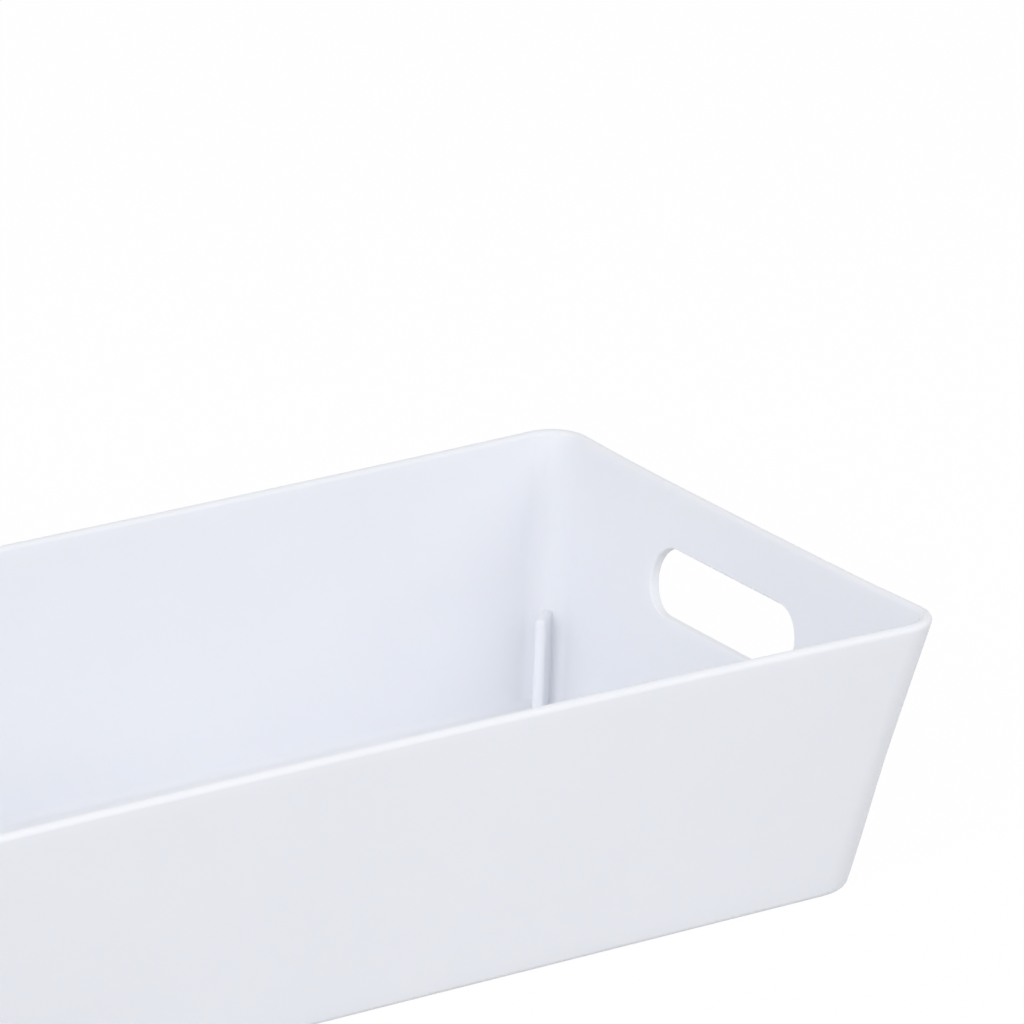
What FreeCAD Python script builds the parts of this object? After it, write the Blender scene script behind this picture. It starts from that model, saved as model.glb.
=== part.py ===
import FreeCAD, Part
import math
import os
import Sketcher

# Rectangular storage tray for a drawer, moulded in one piece.
# Origin under the middle of the base, +X along the long side, +Z up, millimetres.
SIZES = {
    "overall_length": 265.0,
    "overall_width": 150.0,
    "overall_height": 62.5,
    "wall_thickness": 2.5,
    "end_wall_lean": 12.7,       # how far an end wall comes in from the rim to the base
    "side_wall_lean": 12.7,      # the same for a long wall
    "floor_thickness": 3.1,      # at the standing ring, where it is thickest
    "rim_corner_radius": 8.0,    # upright inside corner, at the rim
    "base_corner_radius": 8.3,   # the same corner at the base
    "rim_edge_radius": 1.2,
    "base_edge_radius": 1.6,
    "floor_edge_radius": 2.0,
    "slot_width": 55.0,
    "slot_height": 15.2,         # along the leaning wall
    "slot_drop": 20.6,           # from the rim down to the middle of the hand slot
    "slot_chamfer": 0.5,
    "rib_width": 2.5,
    "rib_reach": 8.0,            # how far the rib stands out of its corner
    "rib_top": 24.5,             # from the base up to the top of the rib
    "rib_edge_radius": 1.0,
    "ring_width": 5.0,           # standing ring round the underside
    "ring_height": 0.6,
    "gate_well_radius": 4.5,     # shallow well that keeps the gate mark off the table
    "gate_well_depth": 0.4,
    "gate_stub_radius": 1.1,
    "gate_stub_height": 0.25,
}

CORNER_CUT = "(1 - sqrt(0.5))"            # share of its radius that a rounding cuts off each side
RIB_START = "Sizes.floor_thickness / 2"
CUT_MARGIN = "Sizes.wall_thickness"       # how far a cutter reaches beyond what it cuts
BURIED = "Sizes.wall_thickness / 4"       # how far an added filler reaches into its wall
SAME_HEIGHT = 1e-4                        # two heights nearer than this are one


def make_sheet(doc):
    sheet = doc.addObject("Spreadsheet::Sheet", "Sizes")
    for row, (name, value) in enumerate(SIZES.items(), start=1):
        sheet.set(f"A{row}", name)
        sheet.set(f"B{row}", str(value))
        sheet.setAlias(f"B{row}", name)
    doc.recompute()


def origin_plane(body, role):
    return next(plane for plane in body.Origin.OriginFeatures if plane.Role == role)


def new_sketch(body, name, role, height=None):
    sketch = body.newObject("Sketcher::SketchObject", name)
    sketch.AttachmentSupport = (origin_plane(body, role), [""])
    sketch.MapMode = "FlatFace"
    if height:
        sketch.setExpression(".AttachmentOffset.Base.z", height)
    return sketch


def name_sizes(sketch, sizes):
    # Each size of a sketch is a constraint, a start value and the expression that drives it
    for name, (constraint, driver) in sizes.items():
        index = sketch.addConstraint(constraint)
        sketch.renameConstraint(index, name)
        sketch.setExpression(f"Constraints.{name}", driver)


def level_share(height):
    # 0 at the rim and 1 at the base
    return f"(1 - ({height}) / Sizes.overall_height)"


def lean_angle(wall):
    return f"atan(Sizes.{wall}_wall_lean / Sizes.overall_height)"


def wall_face(wall, height, is_inner):
    # How far a face of an end wall or a side wall lies inside the overall size at a height
    face = f"Sizes.{wall}_wall_lean * {level_share(height)}"
    if is_inner:
        face += f" + Sizes.wall_thickness / cos({lean_angle(wall)})"
    return f"({face})"


def inside_radius(height):
    return ("(Sizes.rim_corner_radius + (Sizes.base_corner_radius - Sizes.rim_corner_radius)"
            f" * {level_share(height)})")


def rounded_rectangle(sketch, length, width, radius):
    half_length, half_width, corner = 60.0, 40.0, 10.0   # start values, the drivers take over
    straight_x, straight_y = half_length - corner, half_width - corner
    ends = [
        ((-straight_x, -half_width), (straight_x, -half_width)),
        ((half_length, -straight_y), (half_length, straight_y)),
        ((straight_x, half_width), (-straight_x, half_width)),
        ((-half_length, straight_y), (-half_length, -straight_y)),
    ]
    centres = [(straight_x, -straight_y), (straight_x, straight_y),
               (-straight_x, straight_y), (-straight_x, -straight_y)]
    axis = FreeCAD.Vector(0, 0, 1)
    for side in range(4):
        start, end = ends[side]
        sketch.addGeometry(Part.LineSegment(FreeCAD.Vector(*start, 0), FreeCAD.Vector(*end, 0)))
        circle = Part.Circle(FreeCAD.Vector(*centres[side], 0), axis, corner)
        first = math.radians(90 * side - 90)
        sketch.addGeometry(Part.ArcOfCircle(circle, first, first + math.pi / 2))
    for curve in range(8):
        sketch.addConstraint(Sketcher.Constraint("Tangent", curve, 2, (curve + 1) % 8, 1))
    for line, direction in ((0, "Horizontal"), (2, "Vertical"), (4, "Horizontal"), (6, "Vertical")):
        sketch.addConstraint(Sketcher.Constraint(direction, line))
    for arc in (3, 5, 7):
        sketch.addConstraint(Sketcher.Constraint("Equal", 1, arc))
    sketch.addConstraint(Sketcher.Constraint("Symmetric", 0, 1, 4, 1, -1, 1))
    name_sizes(sketch, {
        "length": (Sketcher.Constraint("DistanceX", 6, 1, 2, 1, 2 * half_length), length),
        "width": (Sketcher.Constraint("DistanceY", 0, 1, 4, 1, 2 * half_width), width),
        "radius": (Sketcher.Constraint("Radius", 1, corner), radius),
    })


def loft(body, name, kind, top, bottom):
    # Runs downwards, which leaves the solid's faces pointing outwards
    feature = body.newObject(kind, name)
    feature.Profile = top
    feature.Sections = [bottom]
    feature.Ruled = True
    return feature


def dress_edges(doc, body, name, kind, size, is_wanted):
    # Rounds or chamfers every edge of the body so far that the test picks
    doc.recompute()
    base = body.Tip
    picked = [f"Edge{i}" for i, edge in enumerate(base.Shape.Edges, start=1) if is_wanted(edge)]
    if not picked:
        raise RuntimeError(f"{name} found no edge to dress")
    feature = body.newObject(kind, name)
    feature.Base = (base, picked)
    feature.setExpression("Radius" if kind == "PartDesign::Fillet" else "Size", size)


def round_edges(doc, body, name, radius, is_wanted):
    dress_edges(doc, body, name, "PartDesign::Fillet", radius, is_wanted)


def lies_at(edge, height):
    box = edge.BoundBox
    return abs(box.ZMin - height) < SAME_HEIGHT and abs(box.ZMax - height) < SAME_HEIGHT


def in_each_corner(doc, body, name, feature):
    # Mirrors what was made in one corner into the other three
    doc.recompute()
    copies = body.newObject("PartDesign::MultiTransform", name)
    mirrors = []
    for suffix, role in (("ToOtherEnd", "YZ_Plane"), ("ToOtherSide", "XZ_Plane")):
        mirror = body.newObject("PartDesign::Mirrored", name + suffix)
        mirror.MirrorPlane = (origin_plane(body, role), [""])
        mirrors.append(mirror)
    copies.Originals = [feature]
    copies.Transformations = mirrors
    body.Tip = copies


def add_frustum(body, name, kind, bottom, is_inner):
    # Four flat leaning walls between the given height and the rim
    feature = body.newObject(kind, name)
    feature.AttachmentSupport = (origin_plane(body, "XY_Plane"), [""])
    feature.MapMode = "FlatFace"
    feature.AttachmentOffset = FreeCAD.Placement(
        FreeCAD.Vector(0, 0, 0), FreeCAD.Rotation(FreeCAD.Vector(1, 0, 0), 90))
    rim = "Sizes.overall_height"
    feature.setExpression("Ymin", bottom)
    feature.setExpression("Ymax", rim)
    for prefix, height in (("", bottom), ("2", rim)):
        for axis, wall, across in (("X", "end", "Sizes.overall_length"),
                                   ("Z", "side", "Sizes.overall_width")):
            half = f"({across} / 2 - {wall_face(wall, height, is_inner)})"
            feature.setExpression(f"{axis}{prefix}min", f"-{half}")
            feature.setExpression(f"{axis}{prefix}max", half)
    return feature


def corner_profile(body, name, height, is_inner, radius, margin):
    # What lies between a sharp corner and its rounding, with a margin on the outer sides
    sketch = new_sketch(body, name, "XY_Plane", height)
    end, side = (wall_face(wall, height, is_inner) for wall in ("end", "side"))
    sketch.setExpression(".AttachmentOffset.Base.x", f"Sizes.overall_length / 2 - {end}")
    sketch.setExpression(".AttachmentOffset.Base.y", f"Sizes.overall_width / 2 - {side}")
    corner, outer = 8.0, 2.0   # start values, the drivers take over
    points = [(-corner, 0), (-corner, outer), (outer, outer), (outer, -corner), (0, -corner)]
    for start, end in zip(points, points[1:]):
        sketch.addGeometry(Part.LineSegment(FreeCAD.Vector(*start, 0), FreeCAD.Vector(*end, 0)))
    circle = Part.Circle(FreeCAD.Vector(-corner, -corner, 0), FreeCAD.Vector(0, 0, 1), corner)
    sketch.addGeometry(Part.ArcOfCircle(circle, 0, math.pi / 2))
    for curve in range(5):
        sketch.addConstraint(Sketcher.Constraint("Coincident", curve, 2, (curve + 1) % 5, 1))
    for line, direction in ((0, "Vertical"), (1, "Horizontal"), (2, "Vertical"), (3, "Horizontal")):
        sketch.addConstraint(Sketcher.Constraint(direction, line))
    sketch.addConstraint(Sketcher.Constraint("Horizontal", 4, 1, 4, 3))
    sketch.addConstraint(Sketcher.Constraint("Vertical", 4, 2, 4, 3))
    name_sizes(sketch, {
        "radius": (Sketcher.Constraint("Radius", 4, corner), radius),
        "centre_x": (Sketcher.Constraint("DistanceX", 4, 3, -1, 1, corner), radius),
        "centre_y": (Sketcher.Constraint("DistanceY", 4, 3, -1, 1, corner), radius),
        "margin_x": (Sketcher.Constraint("DistanceX", -1, 1, 1, 2, outer), margin),
        "margin_y": (Sketcher.Constraint("DistanceY", -1, 1, 1, 2, outer), margin),
    })
    return sketch


def add_corners(doc, body, name, kind, heights, is_inner, margin):
    # Rounded corners whose radius changes evenly from the rim to the base
    grow = "0" if is_inner else "Sizes.wall_thickness"
    profiles = [corner_profile(body, f"{name}{place}", height, is_inner,
                               f"{inside_radius(height)} + {grow}", margin)
                for place, height in zip(("AtRim", "AtBase"), heights)]
    feature = loft(body, name, kind, *profiles)
    in_each_corner(doc, body, f"{name}InEachCorner", feature)


def add_shell(doc, body, size):
    # A solid frustum with rounded corners, hollowed by the same frustum one wall further in
    rim = "Sizes.overall_height"
    floor = "Sizes.floor_thickness"
    add_frustum(body, "Outside", "PartDesign::AdditiveWedge", "0", False)
    add_corners(doc, body, "OutsideRounding", "PartDesign::SubtractiveLoft", (rim, "0"),
                False, CUT_MARGIN)
    round_edges(doc, body, "BaseEdge", "Sizes.base_edge_radius", lambda edge: lies_at(edge, 0))
    add_frustum(body, "Inside", "PartDesign::SubtractiveWedge", floor, True)
    add_corners(doc, body, "InsideRounding", "PartDesign::AdditiveLoft", (rim, f"{floor} / 2"),
                True, BURIED)
    round_edges(doc, body, "FloorEdge", "Sizes.floor_edge_radius",
                lambda edge: lies_at(edge, size["floor_thickness"]))


def rib_profile(body):
    # A flat fin on the corner's diagonal, its root buried in the wall
    sketch = new_sketch(body, "RibOutline", "XY_Plane")
    sketch.AttachmentOffset = FreeCAD.Placement(
        FreeCAD.Vector(0, 0, 0), FreeCAD.Rotation(FreeCAD.Vector(0, 0, 1), 45))
    rounding = f"{inside_radius(RIB_START)} * {CORNER_CUT}"
    for axis, wall, across in (("x", "end", "Sizes.overall_length"),
                               ("y", "side", "Sizes.overall_width")):
        face = wall_face(wall, RIB_START, True)
        sketch.setExpression(f".AttachmentOffset.Base.{axis}", f"{across} / 2 - {face} - {rounding}")
    sketch.setExpression(".AttachmentOffset.Base.z", RIB_START)
    root, nose, half = 1.0, 5.0, 2.0   # start values, the drivers take over
    points = [(-nose, -half), (root, -half), (root, half), (-nose, half)]
    for side in range(4):
        sketch.addGeometry(Part.LineSegment(FreeCAD.Vector(*points[side], 0),
                                            FreeCAD.Vector(*points[(side + 1) % 4], 0)))
    for side in range(4):
        sketch.addConstraint(Sketcher.Constraint("Coincident", side, 2, (side + 1) % 4, 1))
    for line, direction in ((0, "Horizontal"), (1, "Vertical"), (2, "Horizontal")):
        sketch.addConstraint(Sketcher.Constraint(direction, line))
    sketch.addConstraint(Sketcher.Constraint("Symmetric", 3, 1, 3, 2, -1))
    name_sizes(sketch, {
        "width": (Sketcher.Constraint("DistanceY", 1, 1, 1, 2, 2 * half), "Sizes.rib_width"),
        "reach": (Sketcher.Constraint("DistanceX", 0, 1, -1, 1, nose), "Sizes.rib_reach"),
        "root": (Sketcher.Constraint("DistanceX", -1, 1, 0, 2, root), "Sizes.wall_thickness / 2"),
    })
    return sketch


def add_ribs(doc, body, size):
    # One rib follows the lean of its corner from inside the floor up, then goes into each corner
    rib = body.newObject("PartDesign::Pad", "Rib")
    rib.Profile = rib_profile(body)
    rib.Type = "Length"
    rib.UseCustomVector = True
    rib.AlongSketchNormal = True
    lean = ("((Sizes.end_wall_lean + Sizes.side_wall_lean) / 2"
            f" + (Sizes.base_corner_radius - Sizes.rim_corner_radius) * {CORNER_CUT})"
            " / Sizes.overall_height")
    rib.Direction = FreeCAD.Vector(0, 0, 1)
    rib.setExpression("Direction.x", lean)
    rib.setExpression("Direction.y", lean)
    rib.setExpression("Length", f"Sizes.rib_top - {RIB_START}")
    in_each_corner(doc, body, "RibInEachCorner", rib)

    def edges_a_rib(edge):
        # Straight ones only, which leaves out the lines where the rib meets its corner
        straight = edge.Curve.TypeId == "Part::GeomLine"
        return straight and abs(edge.BoundBox.ZMax - size["rib_top"]) < SAME_HEIGHT

    round_edges(doc, body, "RibEdges", "Sizes.rib_edge_radius", edges_a_rib)


def slot_outline(body):
    # A slot with round ends, drawn on the outer face of the right end wall
    sketch = new_sketch(body, "SlotOutline", "YZ_Plane")
    sketch.AttachmentOffset = FreeCAD.Placement(
        FreeCAD.Vector(0, 0, 0), FreeCAD.Rotation(FreeCAD.Vector(1, 0, 0), 10))
    middle = "(Sizes.overall_height - Sizes.slot_drop)"
    sketch.setExpression(".AttachmentOffset.Base.y", middle)
    sketch.setExpression(".AttachmentOffset.Base.z",
                         f"Sizes.overall_length / 2 - {wall_face('end', middle, False)}")
    sketch.setExpression(".AttachmentOffset.Rotation.Angle", lean_angle("end"))
    centre, half = 20.0, 8.0   # start values, the drivers take over
    lines = [((-centre, -half), (centre, -half)), ((centre, half), (-centre, half))]
    for side, (start, end) in enumerate(lines):
        sketch.addGeometry(Part.LineSegment(FreeCAD.Vector(*start, 0), FreeCAD.Vector(*end, 0)))
        circle = Part.Circle(FreeCAD.Vector(end[0], 0, 0), FreeCAD.Vector(0, 0, 1), half)
        first = math.pi * side - math.pi / 2
        sketch.addGeometry(Part.ArcOfCircle(circle, first, first + math.pi))
    for curve in range(4):
        sketch.addConstraint(Sketcher.Constraint("Tangent", curve, 2, (curve + 1) % 4, 1))
    sketch.addConstraint(Sketcher.Constraint("Equal", 1, 3))
    sketch.addConstraint(Sketcher.Constraint("Symmetric", 1, 3, 3, 3, -1, 1))
    sketch.addConstraint(Sketcher.Constraint("PointOnObject", 1, 3, -1))
    name_sizes(sketch, {
        "radius": (Sketcher.Constraint("Radius", 1, half), "Sizes.slot_height / 2"),
        "straight": (Sketcher.Constraint("DistanceX", 3, 3, 1, 3, 2 * centre),
                     "Sizes.slot_width - Sizes.slot_height"),
    })
    return sketch


def add_slots(doc, body, size):
    # Cut square through the right end wall, then mirrored into the left one
    slot = body.newObject("PartDesign::Pocket", "HandSlot")
    slot.Profile = slot_outline(body)
    slot.SideType = "Symmetric"
    slot.Type = "Length"
    slot.setExpression("Length", f"2 * (Sizes.wall_thickness + {CUT_MARGIN})")
    doc.recompute()
    copy = body.newObject("PartDesign::Mirrored", "HandSlotInEachEnd")
    copy.Originals = [slot]
    copy.MirrorPlane = (origin_plane(body, "YZ_Plane"), [""])
    body.Tip = copy

    half_width = size["slot_width"] / 2
    half_height = size["slot_height"] / 2
    middle = size["overall_height"] - size["slot_drop"]
    margin = size["wall_thickness"] / 2

    def rings_a_slot(edge):
        box = edge.BoundBox
        near = (max(box.YMax, -box.YMin) < half_width + margin
                and box.ZMin > middle - half_height - margin
                and box.ZMax < middle + half_height + margin)
        runs_through_wall = edge.Length < 1.5 * size["wall_thickness"]
        return near and not runs_through_wall

    dress_edges(doc, body, "SlotEdges", "PartDesign::Chamfer", "Sizes.slot_chamfer", rings_a_slot)


def disc(body, name, height, radius):
    sketch = new_sketch(body, name, "XY_Plane", height)
    circle = Part.Circle(FreeCAD.Vector(0, 0, 0), FreeCAD.Vector(0, 0, 1), 5.0)
    sketch.addGeometry(circle)
    sketch.addConstraint(Sketcher.Constraint("Coincident", 0, 3, -1, 1))
    name_sizes(sketch, {"radius": (Sketcher.Constraint("Radius", 0, 5.0), radius)})
    return sketch


def extrude(body, name, kind, sketch, length):
    # Upwards from its sketch, which is into the tray for everything on the underside
    feature = body.newObject(kind, name)
    feature.Profile = sketch
    feature.Type = "Length"
    feature.Reversed = kind == "PartDesign::Pocket"
    feature.setExpression("Length", length)
    return feature


def add_underside(body):
    # The middle of the base is raised a little, so that the tray stands on a ring
    panel = new_sketch(body, "PanelOutline", "XY_Plane")
    length, width = (f"Sizes.{overall} - 2 * (Sizes.{wall}_wall_lean + Sizes.ring_width)"
                     for overall, wall in (("overall_length", "end"), ("overall_width", "side")))
    rounded_rectangle(panel, length, width, "Sizes.base_corner_radius")
    extrude(body, "RaisedPanel", "PartDesign::Pocket", panel, "Sizes.ring_height")
    well = disc(body, "GateWellOutline", "Sizes.ring_height", "Sizes.gate_well_radius")
    extrude(body, "GateWell", "PartDesign::Pocket", well, "Sizes.gate_well_depth")
    stub_base = "Sizes.ring_height + Sizes.gate_well_depth - Sizes.gate_stub_height"
    stub = disc(body, "GateStubOutline", stub_base, "Sizes.gate_stub_radius")
    extrude(body, "GateStub", "PartDesign::Pad", stub, "Sizes.gate_stub_height")


def make_tray(doc):
    body = doc.addObject("PartDesign::Body", "Tray")
    body.Label = "tray_moulding"
    body.Placement = FreeCAD.Placement()
    add_shell(doc, body, SIZES)
    add_ribs(doc, body, SIZES)
    add_slots(doc, body, SIZES)
    round_edges(doc, body, "RimEdges", "Sizes.rim_edge_radius",
                lambda edge: lies_at(edge, SIZES["overall_height"]))
    add_underside(body)
    return body


def check(doc, bodies):
    for thing in doc.Objects:
        if "Invalid" in thing.State or "Error" in thing.State:
            raise RuntimeError(f"{thing.Name} is {thing.State}")
    for body in bodies:
        shape = body.Shape
        if shape.isNull() or not shape.isValid() or len(shape.Solids) != 1:
            raise RuntimeError(f"{body.Label} isn't one valid solid")


def main():
    doc = FreeCAD.newDocument("StorageTray")
    make_sheet(doc)
    bodies = [make_tray(doc)]
    doc.recompute()
    check(doc, bodies)
    os.makedirs("parts", exist_ok=True)
    for body in bodies:
        body.Shape.exportStep(f"parts/{body.Label}.step")
        box = body.Shape.BoundBox
        print(f"{body.Label}: {box.XLength:.1f} x {box.YLength:.1f} x {box.ZLength:.1f} mm,"
              f" {body.Shape.Volume / 1000:.1f} cm3, {len(body.Shape.Faces)} faces")


main()
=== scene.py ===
import math
import bmesh
import bpy
from mathutils import Matrix, Vector


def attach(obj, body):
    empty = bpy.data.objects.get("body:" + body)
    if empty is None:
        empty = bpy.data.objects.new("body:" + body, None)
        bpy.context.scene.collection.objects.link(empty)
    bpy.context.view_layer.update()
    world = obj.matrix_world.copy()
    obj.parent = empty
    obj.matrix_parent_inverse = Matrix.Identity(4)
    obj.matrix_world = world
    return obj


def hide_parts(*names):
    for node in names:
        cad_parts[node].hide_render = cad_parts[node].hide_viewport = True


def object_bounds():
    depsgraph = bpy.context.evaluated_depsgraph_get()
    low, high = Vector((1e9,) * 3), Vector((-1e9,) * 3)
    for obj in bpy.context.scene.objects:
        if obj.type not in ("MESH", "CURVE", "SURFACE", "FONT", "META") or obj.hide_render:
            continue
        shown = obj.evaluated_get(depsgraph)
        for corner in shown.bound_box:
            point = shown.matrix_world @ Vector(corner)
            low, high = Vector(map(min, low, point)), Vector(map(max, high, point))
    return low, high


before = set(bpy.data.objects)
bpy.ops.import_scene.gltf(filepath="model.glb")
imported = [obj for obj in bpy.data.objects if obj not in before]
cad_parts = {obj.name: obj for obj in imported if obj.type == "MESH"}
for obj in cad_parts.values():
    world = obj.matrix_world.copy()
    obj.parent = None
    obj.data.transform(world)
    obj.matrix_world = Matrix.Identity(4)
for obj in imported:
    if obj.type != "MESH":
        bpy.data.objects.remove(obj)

cadLow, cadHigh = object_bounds()
mm = 0.001
sameSpot = 0.0001                # millimetres; a cut this close to a vertex goes through it
weld = 0.001                     # millimetres; vertices this close become one
white = (1, 1, 1, 1)


def hexColor(text):
    # sRGB hex to the linear colour that the shaders take
    channels = [int(text[i:i + 2], 16) / 255 for i in (1, 3, 5)]
    return [c / 12.92 if c <= 0.04045 else ((c + 0.055) / 1.055) ** 2.4 for c in channels] + [1.0]


def addNode(tree, kind, settings=None, links=None, inputs=None):
    # Adds one node, sets its properties and unlinked sockets, and wires its inputs
    node = tree.nodes.new(kind)
    for name, value in (settings or {}).items():
        setattr(node, name, value)
    for name, value in (inputs or {}).items():
        node.inputs[name].default_value = value
    for name, source in (links or {}).items():
        tree.links.new(source, node.inputs[name])
    return node


def newTree(name):
    material = bpy.data.materials.new(name)
    material.use_nodes = True
    material.node_tree.nodes.clear()
    return material, material.node_tree


polypropylene = {
    "color": "#edeff4",          # natural white with a trace of blue brightener
    "denseColor": "#e9ebf1",     # the same plastic where the flow left it a little denser
    "flowScale": 55 * mm,        # size of the faint cloudy patches
    "grain": 0.9 * mm,           # real spark texture is nearer 0.1 mm, drawn coarser to show
    "grainDepth": 0.010 * mm,
    "wave": 38 * mm,             # long soft ripples left by cooling
    "waveDepth": 0.05 * mm,
    "ior": 1.49,
    "roughness": (0.52, 0.62),
    "glow": 0.6,                 # share of the light that goes into the wall before it comes back
    "glowRadius": (1.0, 0.95, 0.9),
    "glowDepth": 1.8 * mm,
}


def polypropyleneMoulded():
    # Injection moulded polypropylene: waxy satin white, soft highlights, faint clouds in the wall
    p = polypropylene
    material, tree = newTree("polypropyleneMoulded")
    place = addNode(tree, "ShaderNodeTexCoord").outputs["Object"]
    clouds = addNode(tree, "ShaderNodeTexNoise", links={"Vector": place},
                     inputs={"Scale": 1 / p["flowScale"], "Detail": 3.0, "Roughness": 0.55})
    tint = addNode(tree, "ShaderNodeMix", {"data_type": "RGBA"}, {0: clouds.outputs["Fac"]},
                   {6: hexColor(p["denseColor"]), 7: hexColor(p["color"])})
    grain = addNode(tree, "ShaderNodeTexNoise", links={"Vector": place},
                    inputs={"Scale": 1 / p["grain"], "Detail": 2.0, "Roughness": 0.6})
    sheen = addNode(tree, "ShaderNodeMapRange", links={"Value": grain.outputs["Fac"]},
                    inputs={"To Min": p["roughness"][0], "To Max": p["roughness"][1]})
    ripple = addNode(tree, "ShaderNodeTexNoise", links={"Vector": place},
                     inputs={"Scale": 1 / p["wave"], "Detail": 1.0})
    soft = addNode(tree, "ShaderNodeBump", links={"Height": ripple.outputs["Fac"]},
                   inputs={"Strength": 1.0, "Distance": p["waveDepth"]})
    fine = addNode(tree, "ShaderNodeBump",
                   links={"Height": grain.outputs["Fac"], "Normal": soft.outputs["Normal"]},
                   inputs={"Strength": 1.0, "Distance": p["grainDepth"]})
    shader = addNode(tree, "ShaderNodeBsdfPrincipled",
                     links={"Base Color": tint.outputs[2], "Roughness": sheen.outputs["Result"],
                            "Normal": fine.outputs["Normal"]},
                     inputs={"IOR": p["ior"], "Subsurface Weight": p["glow"],
                             "Subsurface Radius": p["glowRadius"],
                             "Subsurface Scale": p["glowDepth"]})
    addNode(tree, "ShaderNodeOutputMaterial", links={"Surface": shader.outputs["BSDF"]})
    return material


shell = {                        # millimetres, until the finished mesh is scaled to metres
    "length": 265.0,             # at the rim, before its edge is rounded
    "width": 150.0,
    "height": 62.5,
    "lean": 12.7,                # how far every wall comes in from the rim to the base
    "wall": 2.5,
    "floor": 3.1,
    "rimCorner": 8.0,            # inside corner radius
    "baseCorner": 8.3,
    "cornerSteps": 12,
    "rimRound": 1.2,
    "baseRound": 1.6,
    "floorRound": 2.0,
    "roundSteps": 5,
    "cutsX": (105, 20),          # outermost cut across the length, and how many fields between
    "cutsY": (47.6, 14),
    "cutsZ": (6, 12, 18, 24, 30, 36, 42, 48, 54, 58),
    "ringWidth": 5.0,            # standing ring round the underside
    "ringHeight": 0.6,
    "ringDraft": 0.2,
    "sharpAngle": 35,
}

handSlot = {
    "width": 55.0,
    "height": 15.2,
    "drop": 20.6,                # from the rim down to its middle
    "segments": 32,              # of its two round ends together
    "edgeRound": 0.5,
    "roundSteps": 3,
    "fieldY": 34.0,              # part of the end wall that is opened and closed round the slot
    "fieldZ": (30.0, 54.0),
    "nearWall": 0.5,             # a face this close to the wall's face belongs to it
    "cutsY": (-13.6, -6.8, 0, 6.8, 13.6),
}

rib = {
    "width": 2.5,
    "reach": 7.0,                # how far it stands out of its corner
    "top": 24.0,
    "edgeRound": 0.9,
    "roundSteps": 4,
    "footMargin": 1.0,           # edges lower than this over its foot are buried and stay sharp
    "rootRound": 0.7,            # how it widens where it meets the corner
    "rootCuts": (-0.65, -0.5, -0.35, -0.15, 0),
}

gate = {                         # the mark where the plastic came in, under the middle of the base
    "field": (10.5, 6.8),        # half length and width of the part of the base that is reopened
    "flatness": 0.01,            # a face this close to the raised panel's level belongs to it
    "segments": 28,
    "wellRadius": 4.5,
    "wellDepth": 0.4,
    "stubRadius": 1.1,
    "stubHeight": 0.25,
}

bow = {                          # the walls curve in a little as the plastic shrinks
    "side": 2.4,                 # of a long wall, at the middle of its rim
    "end": 1.8,
    "fullDepth": 1.0,            # how far behind a wall's inner face the bow is complete
    "sideFade": 1.5,             # power with which it dies away towards the base
    "endPower": 3.7,             # how flat the middle of an end wall's curve is
    "endFade": (6.0, 36.0),      # heights between which the end wall's curve grows
}

halfLength, halfWidth, height = shell["length"] / 2, shell["width"] / 2, shell["height"]
leanAngle = math.atan2(shell["lean"], height)
levelWall = shell["wall"] / math.cos(leanAngle)


def wallPlace(level, isInner):
    # How far a wall's face has come in at a height
    return shell["lean"] * (1 - level / height) + (levelWall if isInner else 0)


def cornerRadius(level, isInner):
    share = 1 - level / height
    radius = shell["rimCorner"] + (shell["baseCorner"] - shell["rimCorner"]) * share
    return radius if isInner else radius + shell["wall"]


def addPlate(bm, level, isInner):
    # A level plate with rounded corners, which gives a wall its edge loop
    old = set(bm.faces)
    corners = bmesh.ops.create_grid(bm, x_segments=1, y_segments=1, size=1)["verts"]
    inset = wallPlace(level, isInner)
    bmesh.ops.scale(bm, vec=(halfLength - inset, halfWidth - inset, 1), verts=corners)
    bmesh.ops.translate(bm, vec=(0, 0, level), verts=corners)
    bmesh.ops.bevel(bm, geom=corners, offset=cornerRadius(level, isInner), offset_type="OFFSET",
                    segments=shell["cornerSteps"], profile=0.5, affect="VERTICES", material=-1)
    return next(face for face in bm.faces if face not in old)


def roundLoop(bm, loop, radius, turn, steps):
    # A rounding of that radius along an edge where the surface turns by that angle
    bmesh.ops.bevel(bm, geom=loop, offset=radius * math.tan(turn / 2), offset_type="OFFSET",
                    segments=steps, profile=0.5, affect="EDGES", material=-1)


def openField(bm, faces):
    # Takes the faces away and gives back the edges round the hole
    chosen = set(faces)
    outline = [edge for face in chosen for edge in face.edges
               if sum(other in chosen for other in edge.link_faces) == 1]
    bmesh.ops.delete(bm, geom=list(chosen), context="FACES")
    return outline


def everything(bm):
    return bm.verts[:] + bm.edges[:] + bm.faces[:]


def edgesOf(verts):
    chosen = set(verts)
    return [edge for edge in {edge for vert in chosen for edge in vert.link_edges}
            if all(vert in chosen for vert in edge.verts)]


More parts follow.
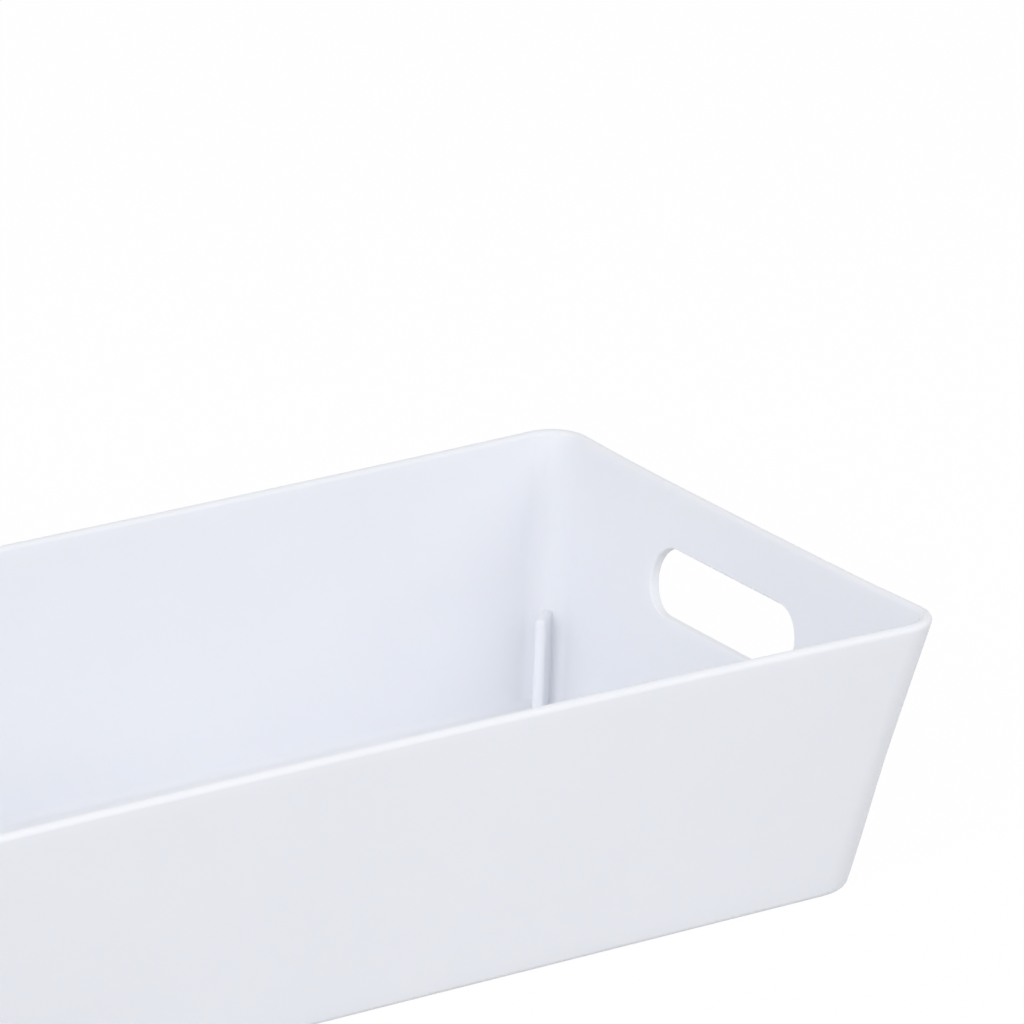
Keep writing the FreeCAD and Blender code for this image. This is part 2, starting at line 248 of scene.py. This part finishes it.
def addWalls(bm):
    base = addPlate(bm, 0, False)
    rimOuter = addPlate(bm, height, False)
    rimInner = addPlate(bm, height, True)
    floor = addPlate(bm, shell["floor"], True)
    loops = [list(plate.edges) for plate in (base, rimOuter, rimInner, floor)]
    for first, second in zip(loops, loops[1:]):
        bmesh.ops.bridge_loops(bm, edges=first + second)
    bmesh.ops.delete(bm, geom=[rimOuter, rimInner], context="FACES_ONLY")
    bmesh.ops.recalc_face_normals(bm, faces=bm.faces)
    quarter = math.pi / 2
    for loop, radius, turn in ((loops[0], shell["baseRound"], quarter - leanAngle),
                               (loops[1], shell["rimRound"], quarter + leanAngle),
                               (loops[2], shell["rimRound"], quarter - leanAngle),
                               (loops[3], shell["floorRound"], quarter - leanAngle)):
        roundLoop(bm, loop, radius, turn, shell["roundSteps"])
    base = min(bm.faces, key=lambda face: face.calc_center_median().z)
    rounded = shell["baseRound"] * math.tan((quarter - leanAngle) / 2)
    bmesh.ops.inset_region(bm, faces=[base], thickness=shell["ringWidth"] - rounded,
                           use_even_offset=True)
    bmesh.ops.inset_region(bm, faces=[base], thickness=shell["ringDraft"],
                           depth=-shell["ringHeight"], use_even_offset=True)


def divideWalls(bm):
    # Cuts across the straight stretches, so that the walls can bow and be opened
    places = [(axis, reach * (2 * i / count - 1)) for axis, (reach, count)
              in enumerate((shell["cutsX"], shell["cutsY"])) for i in range(count + 1)]
    places += [(2, level) for level in shell["cutsZ"]]
    for axis, place in places:
        normal = Vector([float(axis == i) for i in range(3)])
        bmesh.ops.bisect_plane(bm, geom=everything(bm), dist=sameSpot,
                               plane_co=normal * place, plane_no=normal)


def slotRing(bm, side, isInner):
    # A ring with round ends in the face of an end wall, square to its lean
    s = handSlot
    halfStep = math.pi / s["segments"]
    middle = height - s["drop"]
    ring = bmesh.ops.create_circle(bm, segments=s["segments"], cap_ends=False,
                                   radius=s["height"] / 2 / math.cos(halfStep),
                                   matrix=Matrix.Rotation(halfStep, 4, "Z"))["verts"]
    for vert in ring:
        vert.co.y += math.copysign((s["width"] - s["height"]) / 2, vert.co.y)
    for place in s["cutsY"]:
        cut = bmesh.ops.bisect_plane(bm, geom=ring + edgesOf(ring), dist=sameSpot,
                                     plane_co=(0, place, 0), plane_no=(0, 1, 0))["geom_cut"]
        ring += [item for item in cut if isinstance(item, bmesh.types.BMVert)]
    bmesh.ops.rotate(bm, verts=ring, matrix=Matrix.Rotation(leanAngle - math.pi / 2, 3, "Y"))
    inwards = Vector((-math.cos(leanAngle), 0, math.sin(leanAngle)))
    place = Vector((halfLength - wallPlace(middle, False), 0, middle))
    bmesh.ops.translate(bm, verts=ring, vec=place + inwards * shell["wall"] * isInner)
    bmesh.ops.scale(bm, verts=ring, vec=(side, 1, 1))
    return edgesOf(ring)


def cutHandSlot(bm, side):
    s = handSlot
    rings = []
    for isInner in (False, True):
        field = []
        for face in bm.faces:
            centre = face.calc_center_median()
            place = halfLength - wallPlace(centre.z, isInner)
            if (abs(centre.x * side - place) < s["nearWall"] and abs(centre.y) < s["fieldY"]
                    and s["fieldZ"][0] < centre.z < s["fieldZ"][1]):
                field.append(face)
        outline = openField(bm, field)
        ring = slotRing(bm, side, isInner)
        bmesh.ops.bridge_loops(bm, edges=outline + ring)
        rings.append(ring)
    bmesh.ops.bridge_loops(bm, edges=rings[0] + rings[1])
    roundLoop(bm, rings[0] + rings[1], s["edgeRound"], math.pi / 2, s["roundSteps"])


def sinkGate(bm):
    # A flat fill closes round each ring, because a bridge between unlike loops folds over
    g = gate
    panel = shell["ringHeight"]
    field = []
    for face in bm.faces:
        centre = face.calc_center_median()
        if (abs(centre.z - panel) < g["flatness"] and abs(centre.x) < g["field"][0]
                and abs(centre.y) < g["field"][1]):
            field.append(face)
    outline = openField(bm, field)
    for radius, level, rise in ((g["wellRadius"], panel, g["wellDepth"]),
                                (g["stubRadius"], panel + g["wellDepth"], -g["stubHeight"])):
        ring = bmesh.ops.create_circle(bm, segments=g["segments"], radius=radius, cap_ends=False,
                                       matrix=Matrix.Translation((0, 0, level)))["verts"]
        bmesh.ops.triangle_fill(bm, edges=outline + edgesOf(ring), use_beauty=True)
        step = bmesh.ops.extrude_edge_only(bm, edges=edgesOf(ring))["geom"]
        lifted = [item for item in step if isinstance(item, bmesh.types.BMVert)]
        bmesh.ops.translate(bm, verts=lifted, vec=(0, 0, rise))
        outline = edgesOf(lifted)
    bmesh.ops.contextual_create(bm, geom=outline)


def meshObject(name, bm):
    mesh = bpy.data.meshes.new(name)
    bm.to_mesh(mesh)
    bm.free()
    made = bpy.data.objects.new(name, mesh)
    bpy.context.scene.collection.objects.link(made)
    return made


def buildRibs():
    # One fin in every inside corner, its root and its foot buried in the moulding
    r = rib
    foot = shell["floor"] / 2
    buried = shell["wall"] / 2
    cornerCut = 1 - math.sqrt(0.5)
    bm = bmesh.new()
    bmesh.ops.create_cube(bm, size=1)
    bmesh.ops.scale(bm, verts=bm.verts, vec=(r["reach"] + buried, r["width"], r["top"] - foot))
    middle = ((buried - r["reach"]) / 2, 0, (r["top"] + foot) / 2)
    bmesh.ops.translate(bm, verts=bm.verts, vec=middle)
    edges = [edge for edge in bm.edges
             if max(vert.co.z for vert in edge.verts) > foot + r["footMargin"]]
    bmesh.ops.bevel(bm, geom=edges, offset=r["edgeRound"], offset_type="OFFSET",
                    segments=r["roundSteps"], profile=0.5, affect="EDGES", material=-1)
    for place in r["rootCuts"]:
        bmesh.ops.bisect_plane(bm, geom=everything(bm), dist=sameSpot,
                               plane_co=(place, 0, 0), plane_no=(1, 0, 0))
    for vert in bm.verts:        # widens along a quarter circle
        along = min(r["rootRound"], max(0.0, r["rootRound"] + vert.co.x))
        widening = r["rootRound"] - math.sqrt(r["rootRound"] ** 2 - along ** 2)
        vert.co.y *= 1 + 2 * widening / r["width"]
    bmesh.ops.rotate(bm, verts=bm.verts, matrix=Matrix.Rotation(math.pi / 4, 3, "Z"))
    for vert in bm.verts:        # follows the lean of its corner
        inset = wallPlace(vert.co.z, True) + cornerRadius(vert.co.z, True) * cornerCut
        vert.co.x += halfLength - inset
        vert.co.y += halfWidth - inset
    for axis in "XY":
        bmesh.ops.mirror(bm, geom=everything(bm), axis=axis, merge_dist=weld)
    bmesh.ops.recalc_face_normals(bm, faces=bm.faces)
    return meshObject("ribBlocks", bm)


def smoothStep(value, low, high):
    share = min(1.0, max(0.0, (value - low) / (high - low)))
    return share * share * (3 - 2 * share)


def bowWalls(bm):
    b = bow
    for vert in bm.verts:
        x, y, z = vert.co
        inset = wallPlace(z, True) + b["fullDepth"]
        nearSide = min(1.0, abs(y) / (halfWidth - inset)) ** 2
        nearEnd = min(1.0, abs(x) / (halfLength - inset)) ** 2
        sideShape = 1 - (x / halfLength) ** 2
        endShape = 1 - abs(y / halfWidth) ** b["endPower"]
        sideIn = b["side"] * sideShape * max(0.0, z / height) ** b["sideFade"]
        endIn = b["end"] * endShape * smoothStep(z, *b["endFade"])
        vert.co.y -= math.copysign(sideIn * nearSide, y)
        vert.co.x -= math.copysign(endIn * nearEnd, x)


def buildTrayShell(material):
    bm = bmesh.new()
    addWalls(bm)
    divideWalls(bm)
    for side in (1, -1):
        cutHandSlot(bm, side)
    sinkGate(bm)
    bmesh.ops.remove_doubles(bm, verts=bm.verts, dist=weld)
    bmesh.ops.recalc_face_normals(bm, faces=bm.faces)
    print("shell has", len(bm.faces), "faces")
    piece = meshObject("trayShell", bm)

    ribs = buildRibs()
    join = piece.modifiers.new("ribs", "BOOLEAN")
    join.operation = "UNION"
    join.solver = "EXACT"
    join.object = ribs
    joined = piece.evaluated_get(bpy.context.evaluated_depsgraph_get())
    bm = bmesh.new()
    bm.from_mesh(joined.to_mesh())
    piece.modifiers.clear()
    bpy.data.objects.remove(ribs)
    gaps = sum(len(edge.link_faces) != 2 for edge in bm.edges)
    print("with its ribs it has", len(bm.faces), "faces and", gaps, "open edges")
    bowWalls(bm)
    bmesh.ops.scale(bm, verts=bm.verts, vec=(mm, mm, mm))
    bmesh.ops.translate(bm, verts=bm.verts, vec=(0, 0, cadLow.z))
    for face in bm.faces:
        face.smooth = True
    bm.to_mesh(piece.data)
    bm.free()
    piece.data.set_sharp_from_angle(angle=math.radians(shell["sharpAngle"]))
    piece.data.materials.clear()
    piece.data.materials.append(material)
    normals = piece.modifiers.new("evenNormals", "WEIGHTED_NORMAL")
    normals.keep_sharp = True
    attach(piece, "root")
    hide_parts("tray_moulding")
    return piece


studio = {
    "floorColor": "#ffffff",     # as it is seen
    "tableColor": "#e2e2e2",     # as it lights the tray
    "floorSize": 6.0,
    "ownLight": 0.975,            # share of the floor's white that doesn't depend on the lamps
    "skyStrength": 0.64,
    "panels": {                  # size in metres, watts, place
        "leftPanel": (1.0, 13.5, (-1.44, -0.97, 1.0)),
        "rightPanel": (1.0, 8.0, (0.81, -1.53, 1.0)),
    },
}


def seenRay(tree):
    # 1 where the background is looked at or mirrored, 0 where it only lights something
    ray = addNode(tree, "ShaderNodeLightPath").outputs
    seen = ray["Is Camera Ray"]
    for other in ("Is Glossy Ray", "Is Transmission Ray"):
        seen = addNode(tree, "ShaderNodeMath", {"operation": "MAXIMUM"},
                       {0: seen, 1: ray[other]}).outputs[0]
    return seen


def buildStudio():
    s = studio
    bm = bmesh.new()
    bmesh.ops.create_grid(bm, x_segments=1, y_segments=1, size=s["floorSize"] / 2)
    bmesh.ops.translate(bm, verts=bm.verts, vec=(0, 0, cadLow.z))
    floor = meshObject("studioFloor", bm)

    material, tree = newTree("paperSweep")
    seen = seenRay(tree)
    tone = addNode(tree, "ShaderNodeMix", {"data_type": "RGBA"}, {0: seen},
                   {6: hexColor(s["tableColor"]), 7: hexColor(s["floorColor"])})
    matt = addNode(tree, "ShaderNodeBsdfDiffuse", links={"Color": tone.outputs[2]})
    glow = addNode(tree, "ShaderNodeEmission", inputs={"Color": white, "Strength": 1.0})
    share = addNode(tree, "ShaderNodeMath", {"operation": "MULTIPLY"},
                    {0: seen}, {1: s["ownLight"]})
    mixed = addNode(tree, "ShaderNodeMixShader",
                    links={0: share.outputs[0], 1: matt.outputs[0], 2: glow.outputs[0]})
    addNode(tree, "ShaderNodeOutputMaterial", links={"Surface": mixed.outputs[0]})
    floor.data.materials.append(material)

    world = bpy.data.worlds.new("studioSky")
    bpy.context.scene.world = world
    world.use_nodes = True
    tree = world.node_tree
    tree.nodes.clear()
    soft = addNode(tree, "ShaderNodeBackground",
                   inputs={"Color": white, "Strength": s["skyStrength"]})
    plain = addNode(tree, "ShaderNodeBackground", inputs={"Color": white, "Strength": 1.0})
    mixed = addNode(tree, "ShaderNodeMixShader",
                    links={0: seenRay(tree), 1: soft.outputs[0], 2: plain.outputs[0]})
    addNode(tree, "ShaderNodeOutputWorld", links={"Surface": mixed.outputs[0]})

    for name, (size, power, place) in s["panels"].items():
        lamp = bpy.data.lights.new(name, "AREA")
        lamp.shape = "SQUARE"
        lamp.size = size
        lamp.energy = power
        panel = bpy.data.objects.new(name, lamp)
        panel.location = place
        panel.rotation_euler = (-Vector(place)).to_track_quat("-Z", "Y").to_euler()
        bpy.context.scene.collection.objects.link(panel)
    bpy.context.scene.view_settings.view_transform = "Standard"


camera = {
    "azimuth": 32.508,           # degrees from +Y towards +X, the way the lens looks
    "elevation": 19.764,
    "distance": 1.6373,          # along the lens axis to the right end of the rim
    "focalPixels": 7537.0,
    "imageSize": 1024,
    "rimEndPixel": (753.80, 516.13),
    "sensor": 36.0,
    "farClip": 50,
}


def buildCamera():
    c = camera
    azimuth, elevation = math.radians(c["azimuth"]), math.radians(c["elevation"])
    turn = Matrix.Rotation(-azimuth, 3, "Z") @ Matrix.Rotation(math.pi / 2 - elevation, 3, "X")
    centre = c["imageSize"] / 2
    perPixel = c["distance"] / c["focalPixels"]
    across = (c["rimEndPixel"][0] - centre) * perPixel
    up = (centre - c["rimEndPixel"][1]) * perPixel
    rimEnd = Vector((halfLength * mm, 0, cadHigh.z))
    data = bpy.data.cameras.new("photoCamera")
    data.sensor_width = c["sensor"]
    data.lens = c["focalPixels"] * c["sensor"] / c["imageSize"]
    data.clip_end = c["farClip"]
    view = bpy.data.objects.new("photoCamera", data)
    view.location = rimEnd - turn @ Vector((across, up, -c["distance"]))
    view.rotation_euler = turn.to_euler()
    bpy.context.scene.collection.objects.link(view)
    bpy.context.scene.camera = view


buildStudio()
buildCamera()
print("studio and camera ready")
buildTrayShell(polypropyleneMoulded())
print("tray ready")
